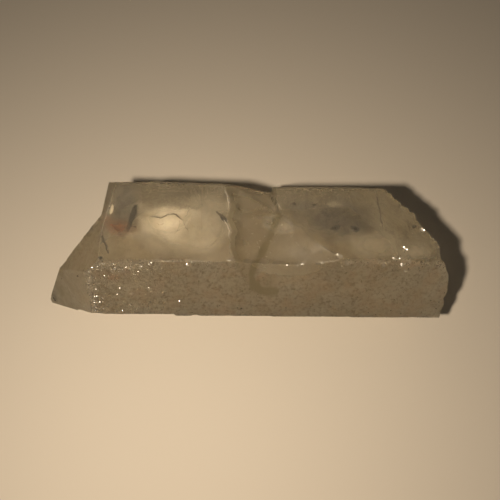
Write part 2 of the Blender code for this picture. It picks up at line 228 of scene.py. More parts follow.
chips = {
    "seed": 23,
    "roughness": 0.12,
    "pitch": 1.7,
    "spread": 900,  # sets the unevenness of one chip apart from the next one's
    "fineFrom": 1.2 * mm,  # larger chips are rounder
    "bodyLeft": -24.0 * mm,
    "bodyRight": 28.0 * mm,
    "singleTurn": 0.3,
    "single": (  # place on an edge, radius, depth, stretch along x
        ((-25.3, -8.1, 22.0), 1.3, 0.40, 1.2),
        ((-30.4, -2.4, 18.5), 1.6, 0.35, 0.8),
        ((-33.2, -5.2, 16.3), 2.6, 0.20, 1.0),
        ((-40.2, -8.6, 3.4), 1.2, 0.30, 1.0),
        ((-28.6, -14.3, 11.0), 2.6, 0.45, 1.6),
        ((16.6, -8.1, 22.0), 2.0, 0.55, 1.1),
        ((22.6, -8.1, 22.0), 2.2, 0.35, 1.5),
        ((26.8, -8.1, 22.0), 2.0, 0.50, 1.2),
        ((5.7, -14.9, 10.7), 1.0, 0.40, 0.8),
        ((30.6, -15.0, 10.5), 1.3, 0.50, 0.9),
        ((29.2, 1.8, 22.0), 1.4, 0.20, 0.8),
        ((33.0, -6.0, 22.0), 2.0, 0.40, 0.7),
        ((-13.0, 14.6, 9.7), 2.4, 0.60, 1.6),
        ((14.0, 14.2, 9.6), 2.8, 0.75, 1.4),
        ((-4.0, 9.2, 0.0), 2.2, 0.50, 1.7),
        ((13.5, -8.6, 0.0), 2.0, 0.45, 1.6),
        ((-15.0, 7.5, 22.0), 1.4, 0.25, 1.6),
    ),
    "flatHeight": 1.6 * mm,
    "flatLean": 0.06,
    "flatSides": 7,
    "flatTaper": 1.1,
    "flatPlace": (0.1, 0.9),
    "flatStretch": (1.0, 2.2),
    "flats": (  # place from above, facing, radius, depth, stretch along x
        ((-9.3, -8.1), (-0.012, -0.396, 0.918), 0.30, 0.08, 1.5),
        ((-3.3, -7.7), (-0.073, -0.397, 0.915), 0.28, 0.10, 1.3),
        ((1.85, -8.1), (-0.125, -0.391, 0.912), 0.20, 0.09, 1.4),
        ((6.8, -8.1), (-0.175, -0.388, 0.905), 0.18, 0.09, 1.3),
        ((12.9, -8.1), (-0.234, -0.383, 0.894), 0.22, 0.11, 1.8),
        ((15.8, -6.9), (-0.261, -0.392, 0.882), 0.32, 0.14, 2.0),
        ((22.1, -8.0), (-0.320, -0.375, 0.871), 0.30, 0.10, 1.2),
        ((23.6, -8.6), (-0.333, -0.368, 0.868), 0.40, 0.14, 1.2),
        ((24.2, -8.2), (-0.338, -0.372, 0.865), 0.28, 0.10, 1.5),
        ((26.4, -8.0), (-0.357, -0.371, 0.857), 0.42, 0.14, 2.0),
        ((26.9, -8.6), (-0.361, -0.364, 0.859), 0.34, 0.14, 2.4),
        ((27.5, -9.2), (-0.366, -0.360, 0.858), 0.26, 0.12, 1.8),
        ((25.2, -7.5), (-0.346, -0.376, 0.859), 0.24, 0.08, 1.8),
        ((27.3, -5.6), (-0.361, -0.385, 0.849), 0.20, 0.07, 2.6),
        ((30.7, -2.0), (-0.384, -0.413, 0.826), 0.36, 0.12, 1.2),
        ((-21.1, -11.8), (0.104, -0.338, 0.935), 0.30, 0.16, 1.6),
    ),
    "flatRows": (  # start, end, how many, facing, smallest and largest radius, depth
        ((-25.2, -8.2, 21.8), (-20.0, -8.1, 22.0), 12, (0.125, -0.393, 0.911), 0.12, 0.26, 0.07),
        ((-20.0, -8.1, 22.0), (-5.0, -8.1, 22.0), 14, (0.045, -0.395, 0.917), 0.10, 0.22, 0.05),
        ((-28.5, -9.3, 19.9), (-28.5, -13.9, 11.9), 13, (0.175, -0.345, 0.922), 0.14, 0.28, 0.14),
        ((-27.5, -8.6, 21.1), (-25.6, -8.3, 21.7), 5, (0.160, -0.387, 0.908), 0.12, 0.22, 0.10),
        ((18.5, -8.1, 22.0), (21.0, -8.1, 22.0), 4, (-0.300, -0.377, 0.876), 0.14, 0.26, 0.08),
    ),
    "rowPlace": (0.05, 0.95),
    "rowDepth": (0.5, 1.3),
    "rowStretch": (0.8, 2.0),
    "rowTurn": 0.7,
    "rows": (  # start, end, how many, smallest and largest radius, depth
        ((-25.5, -8.1, 22.0), (-6.0, -8.1, 22.0), 22, 0.3, 1.1, 0.10),
        ((18.5, -8.1, 22.0), (33.0, -8.1, 22.0), 14, 0.4, 1.5, 0.18),
        ((-27.0, 0.7, 21.2), (-34.5, -6.4, 15.3), 10, 0.4, 1.5, 0.14),
        ((-28.0, -14.7, 11.0), (34.0, -15.1, 10.5), 34, 0.4, 1.5, 0.14),
        ((8.0, 6.2, 22.0), (23.0, 6.2, 22.0), 12, 0.4, 1.1, 0.12),
        ((-18.0, 14.6, 9.7), (17.0, 14.4, 9.6), 16, 0.6, 1.8, 0.20),
        ((-34.6, -6.8, 14.8), (-40.2, -8.6, 4.8), 6, 0.5, 1.4, 0.14),
        ((-28.6, -8.3, 21.6), (-28.6, -14.3, 11.2), 14, 0.3, 0.9, 0.10),
        ((-25.9, 6.8, 22.0), (-26.2, -7.6, 22.0), 9, 0.3, 0.9, 0.08),
    ),
}


def faceNormal(turn, fromAxis):
    turn = math.radians(turn)
    fromAxis = math.radians(fromAxis)
    across = math.sin(fromAxis)
    return Vector((math.cos(fromAxis), -across * math.sin(turn), across * math.cos(turn)))


def prismPlane(name):
    turn, distance, lean = prismFaces[name]
    normal = faceNormal(turn, 90 + lean)
    return Vector((0, 0, crystal["axisHeight"])) + normal * distance * mm, normal


def tipPlane(name):
    turn, point = tipFaces[name]
    return Vector(point) * mm, faceNormal(turn, crystal["pyramidAngle"])


def cutOff(bm, point, normal):
    everything = bm.verts[:] + bm.edges[:] + bm.faces[:]
    cut = bmesh.ops.bisect_plane(
        bm, geom=everything, dist=1e-7, plane_co=point, plane_no=normal, clear_outer=True)
    rim = [item for item in cut["geom_cut"] if isinstance(item, bmesh.types.BMEdge)]
    if rim:
        bmesh.ops.contextual_create(bm, geom=rim)


def newBlock():
    bm = bmesh.new()
    bmesh.ops.create_cube(bm, size=crystal["blockSize"])
    return bm


def newObject(name, bm, collection=None):
    bmesh.ops.recalc_face_normals(bm, faces=bm.faces)
    mesh = bpy.data.meshes.new(name)
    bm.to_mesh(mesh)
    bm.free()
    obj = bpy.data.objects.new(name, mesh)
    (collection or bpy.context.scene.collection).objects.link(obj)
    return obj


def growthBlock():
    bm = newBlock()
    for name in ("top", "frontUpper", "frontLower", "bottom", "backLower", "backUpper"):
        cutOff(bm, *prismPlane(name))
    for name in tipFaces:
        cutOff(bm, *tipPlane(name))
    point, normal = crystal["bevel"]
    cutOff(bm, Vector(point) * mm, Vector(normal))
    return bm


def mixed(low, high, share):
    return low + (high - low) * share


def between(points, at):
    # value on a line of (place, value) points
    for (low, first), (high, second) in zip(points, points[1:]):
        if at <= high:
            return mixed(first, second, min(max((at - low) / (high - low), 0.0), 1.0))
    return points[-1][1]


def softMin(values, blend):
    # smallest value, with the corners between the surfaces rounded
    low = values[0]
    for value in values[1:]:
        share = min(max(0.5 + 0.5 * (value - low) / blend, 0.0), 1.0)
        low = mixed(value, low, share) - blend * share * (1 - share)
    return low


def easeIn(value):
    value = min(max(value, 0.0), 1.0)
    return value * value * (3 - 2 * value)


def easeDown(value):
    return 1 - easeIn(value)


def waves(place, *swells):
    return sum(height * noise.noise(place / size) for height, size in swells)


def wobble(x, y, settings):
    # how far an edge strays from its line
    height, size, seed = settings
    return height * noise.noise(Vector((x, y, seed)) / size)


def facePoint(plane, along, down, depth):
    # a point under a face: along the crystal, down the face, and into it
    point, normal = plane
    sideways = Vector((1, 0, 0)) - normal * normal.x
    sideways.normalize()
    return point + sideways * along + normal.cross(sideways) * down - normal * depth


def drawOut(bm):
    # draws the faces out and gives the new corners, still in place
    drawn = bmesh.ops.extrude_face_region(bm, geom=bm.faces[:], use_keep_orig=True)
    return [item for item in drawn["geom"] if isinstance(item, bmesh.types.BMVert)]


def sheetBlock(box, cell, surface, direction):
    # a fine grid laid on a surface and drawn out into a block that cuts
    lowU, highU, lowV, highV = [side * mm for side in box]
    cellU, cellV = cell if isinstance(cell, tuple) else (cell, cell)
    bm = bmesh.new()
    columns, rows = round((highU - lowU) / cellU), round((highV - lowV) / cellV)
    bmesh.ops.create_grid(bm, x_segments=columns, y_segments=rows, size=0.5)
    for vert in bm.verts:
        u = mixed(lowU, highU, vert.co.x + 0.5)
        v = mixed(lowV, highV, vert.co.y + 0.5)
        if not vert.is_boundary:
            moved = noise.noise_vector(Vector((u / cellU, v / cellV, 0)) * gridShift["pitch"])
            u += gridShift["amount"] * cellU * moved.x
            v += gridShift["amount"] * cellV * moved.y
        vert.co = surface(u, v)
    for vert in drawOut(bm):
        vert.co += direction * (crystal["cutterReach"] - vert.co.dot(direction))
    return bm


def roofHeight(y):
    front = crystal["height"] - scar["prismSlope"] * max(scar["ridgeY"] - y, 0.0)
    back = crystal["height"] - scar["prismSlope"] * max(y - scar["backEdgeY"], 0.0)
    return min(front, back)


def scarDepth(x, y):
    # the shallowest of its left wall, its floor, its right side and its front end
    s = scar
    place = Vector((x, y)) - s["corner"]
    wall = s["wallSlope"] * (x - between(s["leftRim"], y / mm) * mm)
    wall += wobble(y, 0, s["wallWobble"])
    acrossDiagonal = place.dot(Vector((s["diagonal"].y, -s["diagonal"].x)))
    ragged = easeDown(acrossDiagonal / s["raggedReach"])
    acrossDiagonal += ragged * (wobble(x, y, s["raggedWobble"]) + wobble(x, y, s["raggedGrain"]))
    right = s["lip"] + s["rightSlope"] * max(acrossDiagonal, 0.0)
    right += s["diagonalSlope"] * min(acrossDiagonal, 0.0)
    behindCorner = easeIn((place.y - s["openFrom"]) / s["openRun"])
    opened = s["openSlope"] * max(-place.x, 0.0) + s["diagonalSlope"] * max(-acrossDiagonal, 0.0)
    kept = s["blockWallSlope"] * max(place.x + s["blockWallSkew"] * place.y, 0.0)
    right += behindCorner * (opened - kept)
    behindRim = place.dot(Vector((s["backRim"].y, -s["backRim"].x)))
    floor = s["floorDepth"] + s["backSlope"] * max(behindRim, 0.0)
    pastCrease = place.dot(Vector((-s["crease"].y, s["crease"].x)))
    alongCrease = easeIn(place.dot(s["crease"]) / s["creaseGrowth"])
    floor += s["creaseStep"] * alongCrease * easeIn(pastCrease / s["creaseWidth"] + 0.5)
    frontEdge = s["front"][1] + s["frontCurve"] * (x - s["front"][0]) ** 2
    front = s["frontSlope"] * (y - frontEdge)
    inner = softMin((wall, floor, right), s["blend"])
    return max(min(inner, front), -s["outside"])


def scarSurface(x, y):
    s = scar
    place = Vector((x, y, 0))
    fromCentre = (place - Vector((*s["rippleCentre"], 0)) * mm).length
    ripple = math.sin(fromCentre / s["ripplePitch"] + waves(place, s["rippleBend"]))
    swell = waves(place, *s["swells"])
    swell += s["rippleHeight"] * ripple * (s["rippleMean"] + waves(place, s["ripplePatches"]))
    return Vector((x, y, roofHeight(y) - scarDepth(x, y) + swell))


def spallSurface(along, down):
    point, normal = prismPlane("backLeft")
    upwards = Vector((1, 0, 0)).cross(normal).normalized()
    topEdge = point + upwards * ((crystal["height"] - point.z) / upwards.z)
    place = Vector((along, down, 0))
    depth = between(spall["depth"], along / mm) * mm + waves(place, *spall["swells"])
    surface = topEdge - upwards * down - normal * depth
    return Vector((along, surface.y, surface.z))


def breakSurface(y, z):
    b = brokenEnd
    place = Vector((y, z, 0))
    below = crystal["height"] - z
    flakes, _ = noise.voronoi(place / b["flake"])
    smallFlakes, _ = noise.voronoi(place / b["smallFlake"])
    relief = b["relief"] * (b["flakeMean"] - b["rounding"] * flakes[0] ** 2)
    relief += b["smallRelief"] * (b["smallMean"] - smallFlakes[0]) + waves(place, b["swell"])
    x = between(b["line"], y / mm) * mm - b["lean"] * below
    x += min(max(below / b["calmTop"], 0.0) + b["calmShare"], 1.0) * relief
    x += waves(Vector((0, y, z)), b["grain"])
    bend = wobble(0, y, b["scallopBend"])
    bite = abs(math.sin(math.pi * y / b["scallopPitch"] + bend)) - b["scallopMean"]
    bite *= easeIn((y - b["scallopFrom"]) / b["scallopRun"]) * easeDown(below / b["scallopReach"])
    return Vector((x + b["scallop"] * bite, y, z))


def layerDepth(name, x, down):
    # how much of a face is missing at a place, in stepped layers
    depth = 0.0
    for low, high, layer, skew in missingLayers.get(name, ()):
        x0 = x / mm + skew * down / mm
        inside = min(easeIn((x0 - low) / layerEdge), easeIn((high - x0) / layerEdge))
        depth = max(depth, layer * mm * inside)
    return depth


def striatedDepth(name, seed, strength):
    # fine ledges that run across a prism face
    plane = prismPlane(name)

    def depth(u, v):
        s = striation
        place = facePoint(plane, u, v, 0)
        bend = wobble(u, v, (s["bend"], s["bendSize"], seed))
        (coarseX, coarseV), (fineX, fineV) = s["coarse"], s["fine"]
        coarse = noise.noise(Vector((place.x / coarseX + bend, v / coarseV, seed)))
        fine = noise.noise(Vector((place.x / fineX + 2 * bend, v / fineV, seed + 3)))
        stepped = round(coarse * s["steps"] + s["stepBlur"] * fine) / s["steps"]
        ledges = strength * mm * (s["mean"] + s["ledges"] * stepped + s["threads"] * fine)
        return s["sunk"] + layerDepth(name, place.x, v) + ledges
    return depth


def pitDepth(u, v, seed, settings):
    cellU, cellV, reach, depth = settings
    distances, _ = noise.voronoi(Vector((u / cellU, v / cellV, seed)))
    return max(reach - distances[0], 0.0) * depth


def etchedDepth(u, v):
    e = etching
    place = Vector((u, v, 0))
    density = mixed(e["fewest"], 1.0, easeIn((e["denseEnd"] - u) / e["denseRun"]))
    patch = easeIn(0.5 + waves(place, e["patches"]) + e["patchDensity"] * (density - 0.5))
    pit = pitDepth(u, v, 0, e["pits"]) * patch
    pit += pitDepth(u, v, 7, e["smallPits"]) * mixed(e["smallElsewhere"], 1.0, patch)
    return e["sunk"] + pit * density + waves(place, e["swell"])


def hillockDepth(seed):
    # low mounds on a tip face
    def depth(u, v):
        place = Vector((u, v, seed))
        distances, _ = noise.voronoi(place / hillocks["size"])
        return hillocks["sunk"] - hillocks["rise"] * distances[0] + waves(place, hillocks["swell"])
    return depth


def undersideDepth(u, v):
    # flat where it rests, lifted a little at the left end
    place = Vector((u, v, 17))
    past = (underside["ledgeEnd"] + waves(place, underside["ledgeSwell"]) - u) / underside["ledgeRun"]
    return underside["sunk"] + underside["ledge"] * easeIn(past) + waves(place, underside["swell"])


def calmDepth(u, v):
    # the top face, almost flat
    return calmFace["sunk"] + waves(Vector((u, v, 11)), *calmFace["swells"])


# face: box in mm along and down it, cell along and down, and its relief
faceSheets = {
    "top": ((-30, 40, -10, 10), (0.55 * mm, 0.55 * mm), calmDepth),
    "frontUpper": ((-31, 41, -9, 9), (0.21 * mm, 0.20 * mm), etchedDepth),
    "frontLower": ((-44, 41, -9.5, 9.5), (0.24 * mm, 1.2 * mm), striatedDepth("frontLower", 1, 0.05)),
    "backLower": ((-44, 41, -10, 10), (0.24 * mm, 1.2 * mm), striatedDepth("backLower", 2, 0.05)),
    "backLeft": ((-34, 4.95, -10, 10), (0.24 * mm, 1.2 * mm), striatedDepth("backLeft", 3, 0.045)),
    "backRight": ((4.85, 34, -10, 10), (0.24 * mm, 1.2 * mm), striatedDepth("backRight", 4, 0.045)),
    "bottom": ((-44, 41, -11, 11), (0.6 * mm, 0.6 * mm), undersideDepth),
    "mainTip": ((-33, 5, -14, 14), (0.45 * mm, 0.45 * mm), hillockDepth(5)),
    "frontTip": ((-24, 9, -14, 14), (0.45 * mm, 0.45 * mm), hillockDepth(6)),
}


def faceSheet(name):
    box, cell, depth = faceSheets[name]
    plane = tipPlane(name) if name in tipFaces else prismPlane(name)
    return sheetBlock(box, cell, lambda u, v: facePoint(plane, u, v, depth(u, v)), plane[1])


def cornerStep():
    bm = newBlock()
    for point, normal in (crystal["stepFace"], crystal["stepWall"]):
        cutOff(bm, Vector(point) * mm, -Vector(normal))
    return bm


def chip(place, radius, depth, stretch, turn):
    # an uneven ball that takes one shallow flake off an edge
    inside = Vector((min(max(place.x, chips["bodyLeft"]), chips["bodyRight"]), 0, crystal["axisHeight"]))
    centre = place + (place - inside).normalized() * (radius - depth)
    bm = bmesh.new()
    bmesh.ops.create_icosphere(bm, subdivisions=3 if radius > chips["fineFrom"] else 2, radius=1.0)
    for vert in bm.verts:
        spot = vert.co * chips["pitch"] + centre * chips["spread"]
        vert.co *= 1.0 + chips["roughness"] * noise.noise(spot)
    shape = Matrix.Translation(centre) @ Matrix.Rotation(turn, 4, "Z")
    shape = shape @ Matrix.Diagonal((radius * stretch, radius, radius, 1.0))
    bmesh.ops.transform(bm, matrix=shape, verts=bm.verts)
    return bm


def flatChip(place, facing, radius, depth, stretch):
    # a small flat facet on an edge, turned its own way
    facing = facing.normalized()
    height = chips["flatHeight"]
    bm = bmesh.new()
    bmesh.ops.create_cone(
        bm, cap_ends=True, segments=chips["flatSides"],
        radius1=radius, radius2=radius * chips["flatTaper"], depth=height)
    centre = place + facing * (height / 2 - depth)
    turned = facing.to_track_quat("Z", "Y").to_matrix().to_4x4()
    turned = turned @ Matrix.Diagonal((stretch, 1.0, 1.0, 1.0))
    bmesh.ops.transform(bm, matrix=Matrix.Translation(centre) @ turned, verts=bm.verts)
    return bm


def skinHeight(x, y):
    return roofHeight(y) - max(scarDepth(x, y), 0.0)


def allFlatChips():
    rng = random.Random(chips["seed"] + 1)
    for (x, y), facing, radius, depth, stretch in chips["flats"]:
        place = Vector((x * mm, y * mm, skinHeight(x * mm, y * mm)))
        yield flatChip(place, Vector(facing), radius * mm, depth * mm, stretch)
    for start, end, count, facing, smallest, largest, depth in chips["flatRows"]:
        for number in range(count):
            along = (number + rng.uniform(*chips["flatPlace"])) / count
            place = Vector(start).lerp(Vector(end), along) * mm
            lean = Vector((rng.uniform(-1, 1), rng.uniform(-1, 1), 0)) * chips["flatLean"]
            radius = rng.uniform(smallest, largest) * mm
            stretch = rng.uniform(*chips["flatStretch"])
            yield flatChip(place, Vector(facing) + lean, radius, depth * mm, stretch)


def allChips():
    rng = random.Random(chips["seed"])
    for place, radius, depth, stretch in chips["single"]:
        turn = rng.uniform(-chips["singleTurn"], chips["singleTurn"])
        yield chip(Vector(place) * mm, radius * mm, depth * mm, stretch, turn)
    for start, end, count, smallest, largest, depth in chips["rows"]:
        for number in range(count):
            along = (number + rng.uniform(*chips["rowPlace"])) / count
            place = Vector(start).lerp(Vector(end), along) * mm
            radius = rng.uniform(smallest, largest) * mm
            deep = depth * rng.uniform(*chips["rowDepth"]) * mm
            stretch = rng.uniform(*chips["rowStretch"])
            turn = rng.uniform(-chips["rowTurn"], chips["rowTurn"])
            yield chip(place, radius, deep, stretch, turn)


def cutAway(obj, blocks):
    # takes the blocks off the object in one Boolean and keeps the result
    cutters = bpy.data.collections.new("cutters")
    bpy.context.scene.collection.children.link(cutters)
    for number, bm in enumerate(blocks):
        newObject("cutter" + str(number), bm, cutters)
    cut = obj.modifiers.new("cut", "BOOLEAN")
    cut.operation = "DIFFERENCE"
    cut.solver = "MANIFOLD"
    cut.operand_type = "COLLECTION"
    cut.collection = cutters
    bpy.context.view_layer.update()
    evaluated = obj.evaluated_get(bpy.context.evaluated_depsgraph_get())
    mesh = bpy.data.meshes.new_from_object(evaluated)
    obj.modifiers.clear()
    obj.data = mesh
    for cutter in list(cutters.objects):
        bpy.data.objects.remove(cutter, do_unlink=True)
    bpy.data.collections.remove(cutters)


def makeCrystal():
    obj = newObject("quartz", growthBlock())
    blocks = [cornerStep()]
    blocks += [faceSheet(name) for name in faceSheets]
    blocks.append(sheetBlock(scar["box"], scar["cell"], scarSurface, Vector((0, 0, 1))))
    backNormal = prismPlane("backLeft")[1]
    outwards = Vector((0, backNormal.y, backNormal.z)).normalized()
    blocks.append(sheetBlock(spall["box"], spall["cell"], spallSurface, outwards))
    blocks.append(sheetBlock(brokenEnd["box"], brokenEnd["cell"], breakSurface, Vector((1, 0, 0))))
    cutAway(obj, blocks)
    cutAway(obj, list(allChips()) + list(allFlatChips()))
    return obj


shadeAndDarkening = {  # painted shade along the scar's left wall and crease, and darker zones elsewhere; amounts are from 0 to 1
    "lowest": 8.0 * mm,
    "leftmost": -14.0 * mm,
    "shadeBand": 0.40,  # painted shade: a dark band along the foot of the scar's left wall
    "bandStart": 0.05 * mm,
    "bandEnd": 2.9 * mm,
    "bandFade": 1.5 * mm,
    "bandFront": -12.5 * mm,
    "bandDepth": 0.04 * mm,  # how far below the top face it begins
    "bandRise": 0.06 * mm,
    # painted shade darkening the scar's crease
    "creaseShade": 0.9,
    "creaseLine": (
        (5.5, 1.0), (3.9, -2.6), (2.4, -5.9), (1.1, -8.2), (0.5, -9.6), (0.9, -10.6),
        (2.2, -11.3), (5.0, -11.6),
    ),
    "creaseWidth": 0.55 * mm,
    "creaseCore": 0.4,
    "creaseSwell": (0.35 * mm, 1.5 * mm),
    "patchAmount": 0.6,
    "patch": ((3.5, -10.7), 2.0 * mm),  # middle and reach of the grey patch at the crease's foot
    "blockFrom": 4.0 * mm,  # the top face right of the scar is a shade greyer
    "blockSkin": 0.03 * mm,
    "blockAmount": 0.20,
    "tipFrom": -28.0 * mm,
    "tipRun": 9.0 * mm,
    "tipFoot": 1.5 * mm,
    "tipAmount": 0.85,
    "tipSwells": ((0.8, 2.2 * mm), (0.4, 0.8 * mm)),
}


def distanceToLine(points, x, y):
    place = Vector((x, y))
    nearest = 1.0
    for first, second in zip(points, points[1:]):
        a, b = Vector(first) * mm, Vector(second) * mm
        share = min(max((place - a).dot(b - a) / (b - a).length_squared, 0.0), 1.0)
        nearest = min(nearest, (a.lerp(b, share) - place).length)
    return nearest


# painted shade along the scar's left wall and crease, plus a darker grey patch, a greyer block top and a
# darker tip
def shadeAndDarkeningAt(place):
    g = shadeAndDarkening
    if place.x < g["tipFrom"] and place.z > g["tipFoot"]:
        low = easeIn((g["tipFrom"] - place.x) / g["tipRun"])
        patchy = 0.5 + waves(place, *g["tipSwells"])
        return g["tipAmount"] * low * min(max(patchy, 0.0), 1.0)
    if place.z < g["lowest"] or place.x < g["leftmost"]:
        return 0.0
    below = crystal["height"] - place.z
    if place.x > g["blockFrom"] and below < g["blockSkin"]:
        return g["blockAmount"]
    pastRim = place.x - between(scar["leftRim"], place.y / mm) * mm
    # painted shade: the band darkens the foot of the scar's left wall
    shadeBand = easeIn(pastRim / g["bandStart"]) * easeDown((pastRim - g["bandEnd"]) / g["bandFade"] + 1)
    shadeBand *= easeIn((place.y - g["bandFront"]) / g["bandFade"])
    shadeBand *= easeIn((below - g["bandDepth"]) / g["bandRise"])
    # painted shade in the scar's crease
    fromCrease = distanceToLine(g["creaseLine"], place.x, place.y) + waves(place, g["creaseSwell"])
    crease = easeDown(fromCrease / g["creaseWidth"] - g["creaseCore"])
    middle, reach = g["patch"]
    patch = easeDown((Vector(place.xy) - Vector(middle) * mm).length / reach)
    spot = max(g["creaseShade"] * crease, g["patchAmount"] * patch)
    return min(g["shadeBand"] * shadeBand + spot, 1.0)


finishZones = {  # how rough, how pitted and how sparkly each kind of surface is, from 0 to 1
    "top": (0.0, 0.0, 0.0),
    "frontUpper": (0.45, 1.0),
    "tips": (0.50, 0.45, 0.05),
    "scar": (0.26, 0.16, 0.0),
    "brokenEnd": (0.62, 0.30, 0.1),
    "lower": (0.95, 0.10, 0.0),
    "back": (0.85, 0.05, 0.0),
    "bruised": 0.50,  # roughness of the scar's rims
    "bruiseReach": 0.70 * mm,
    "bruiseCore": 0.3,
    "frontTurn": 0.5,  # a normal's share of the way that each kind faces
    "breakTurn": 0.3,
    "lowerTurn": -0.3,
    "backTurn": 0.35,
    "topTurn": 0.97,
    "faceSkin": 0.4 * mm,  # how near to a face's plane a spot still belongs to it
    "topSkin": 0.08 * mm,
    "breakSkin": 2.6 * mm,
    "tipsEnd": -20.0 * mm,
    "pitsFrom": -4.0 * mm,  # the pits thin out from here to the right
    "pitsTo": 12.0 * mm,
    "fewestPits": 0.95,
    "sparkleReach": 2.2 * mm,  # how far steep pits spread from the edges of the front face
    "sparkleTop": 0.8,
    "sparkleTip": -28.6 * mm,
    "sparkleEnd": -21.0 * mm,
    "sparkleRun": 6.6 * mm,
    "sparkleElsewhere": 0.05,
    "sparkleRight": 0.12,
}


def sparkleAt(place):
    # steep pits gather below the top edge and beside the tip face
    zones = finishZones
    fromTop = (crystal["height"] - place.z) / zones["sparkleReach"]
    fromTip = (place.x - zones["sparkleTip"]) / zones["sparkleReach"]
    near = max(easeDown(fromTop * zones["sparkleTop"]), easeDown(fromTip), zones["sparkleElsewhere"])
    left = easeDown((place.x - zones["sparkleEnd"]) / zones["sparkleRun"])
    return near * mixed(zones["sparkleRight"], 1.0, left)


scarRims = (
    ((5.6, 1.6), (4.4, 3.4), (2.4, 5.3), (-0.4, 6.1), (-4.0, 6.4)),  # back rim
    tuple((x, y) for y, x in scar["leftRim"]),
)


def finishAt(place, normal):
    # roughness, pits and sparkle of one spot
    zones = finishZones
    point, outwards = prismPlane("frontUpper")
    onFace = abs((place - point).dot(outwards)) < zones["faceSkin"]
    if onFace and normal.dot(outwards) > zones["frontTurn"]:
        rough, pitted = zones["frontUpper"]
        thinning = easeIn((place.x - zones["pitsFrom"]) / (zones["pitsTo"] - zones["pitsFrom"]))
        return rough, pitted * mixed(1.0, zones["fewestPits"], thinning), sparkleAt(place)
    breakLine = between(brokenEnd["line"], place.y / mm) * mm
    if place.x > breakLine - zones["breakSkin"] and normal.x > zones["breakTurn"]:
        return zones["brokenEnd"]
    if normal.z < zones["lowerTurn"]:
        return zones["lower"]
    if normal.y > zones["backTurn"]:
        return zones["back"]
    if normal.z > zones["topTurn"] and place.z > crystal["height"] - zones["topSkin"]:
        return zones["top"]
    if place.x < zones["tipsEnd"]:
        return zones["tips"]
    rough, pitted, sparkle = zones["scar"]
    rim = min(distanceToLine(line, place.x, place.y) for line in scarRims)
    bruise = easeDown(rim / zones["bruiseReach"] - zones["bruiseCore"])
    return mixed(rough, zones["bruised"], bruise), pitted, sparkle


def dropLooseEdges(bm):
    bmesh.ops.delete(bm, geom=[edge for edge in bm.edges if not edge.link_faces], context="EDGES")


def dress(obj):
    # hard borders round flat faces, soft shading on broken ones
    bm = bmesh.new()
    bm.from_mesh(obj.data)
    bmesh.ops.remove_doubles(bm, verts=bm.verts, dist=crystal["smallest"])
    bmesh.ops.dissolve_degenerate(bm, dist=crystal["smallest"], edges=bm.edges)
    dropLooseEdges(bm)
    bmesh.ops.holes_fill(bm, edges=[edge for edge in bm.edges if edge.is_boundary], sides=0)
    bmesh.ops.triangulate(bm, faces=[face for face in bm.faces if len(face.verts) > 4])
    sharp = math.radians(crystal["sharpAngle"])
    for face in bm.faces:
        face.smooth = True
    for edge in bm.edges:
        if len(edge.link_faces) == 2 and edge.calc_face_angle() > sharp:
            edge.smooth = False
        if any(face.calc_area() > crystal["flatFace"] for face in edge.link_faces):
            edge.smooth = False
    bm.normal_update()
    rough, pitted, sparkly, shadeDarkened = [
        bm.verts.layers.float.new(name) for name in ("rough", "pitted", "sparkly", "shadeDarkened")]
    for vert in bm.verts:
        vert[rough], vert[pitted], vert[sparkly] = finishAt(vert.co, vert.normal)
        # mask of painted shade along the scar's wall and crease, and of the darker patch, block and tip
        vert[shadeDarkened] = shadeAndDarkeningAt(vert.co)
    bm.to_mesh(obj.data)
    bm.free()


def settle(obj):
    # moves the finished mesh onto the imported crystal's place
    low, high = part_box("quartz_crystal")
    points = [vert.co for vert in obj.data.vertices]
    middle = [(min(p[i] for p in points) + max(p[i] for p in points)) / 2 for i in range(2)]
    shift = Vector(((low.x + high.x) / 2 - middle[0], (low.y + high.y) / 2 - middle[1], 0))
    obj.data.transform(Matrix.Translation(shift))
    return shift


quartz = makeCrystal()
dress(quartz)
shift = settle(quartz)
print("crystal:", len(quartz.data.polygons), "faces, shifted", [round(v / mm, 3) for v in shift])


def newMaterial(name):
    material = bpy.data.materials.new(name)
    material.use_nodes = True
    tree = material.node_tree
    return material, tree, tree.nodes["Principled BSDF"]


def setInput(tree, socket, value):
    if hasattr(value, "is_output"):
        tree.links.new(value, socket)
    else:
        socket.default_value = value


def addNode(tree, kind, inputs=None, **settings):
    node = tree.nodes.new(kind)
    for key, value in settings.items():
        setattr(node, key, value)
    for key, value in (inputs or {}).items():
        setInput(tree, node.inputs[key], value)
    return node


def mathNode(tree, operation, *values, clamp=False):
    node = addNode(tree, "ShaderNodeMath", dict(enumerate(values)), operation=operation, use_clamp=clamp)
    return node.outputs[0]


def vectorMath(tree, operation, *values):
    return addNode(tree, "ShaderNodeVectorMath", dict(enumerate(values)), operation=operation).outputs


def times(tree, first, second, clamp=False):
    return mathNode(tree, "MULTIPLY", first, second, clamp=clamp)


def mixNumber(tree, low, high, share):
    return mathNode(tree, "MULTIPLY_ADD", share, high - low, low)


def mixColour(tree, mask, first, second):
    node = addNode(tree, "ShaderNodeMix", {"Factor": mask}, data_type="RGBA")
    setInput(tree, node.inputs[6], first)
    setInput(tree, node.inputs[7], second)
    return node.outputs[2]


def attribute(tree, name):
    return addNode(tree, "ShaderNodeAttribute", attribute_name=name).outputs["Fac"]


def newGroup(name, inputs, outputs):
    group = bpy.data.node_groups.new(name, "ShaderNodeTree")
    sockets = group.interface
    for label, value in inputs.items():
        sockets.new_socket(label, in_out="INPUT", socket_type="NodeSocketFloat").default_value = value
    for label in outputs:
        sockets.new_socket(label, in_out="OUTPUT", socket_type="NodeSocketFloat")
    return group, group.nodes.new("NodeGroupInput").outputs, group.nodes.new("NodeGroupOutput").inputs


def placeGroup(tree, group, **inputs):
    return addNode(tree, "ShaderNodeGroup", inputs, node_tree=group).outputs


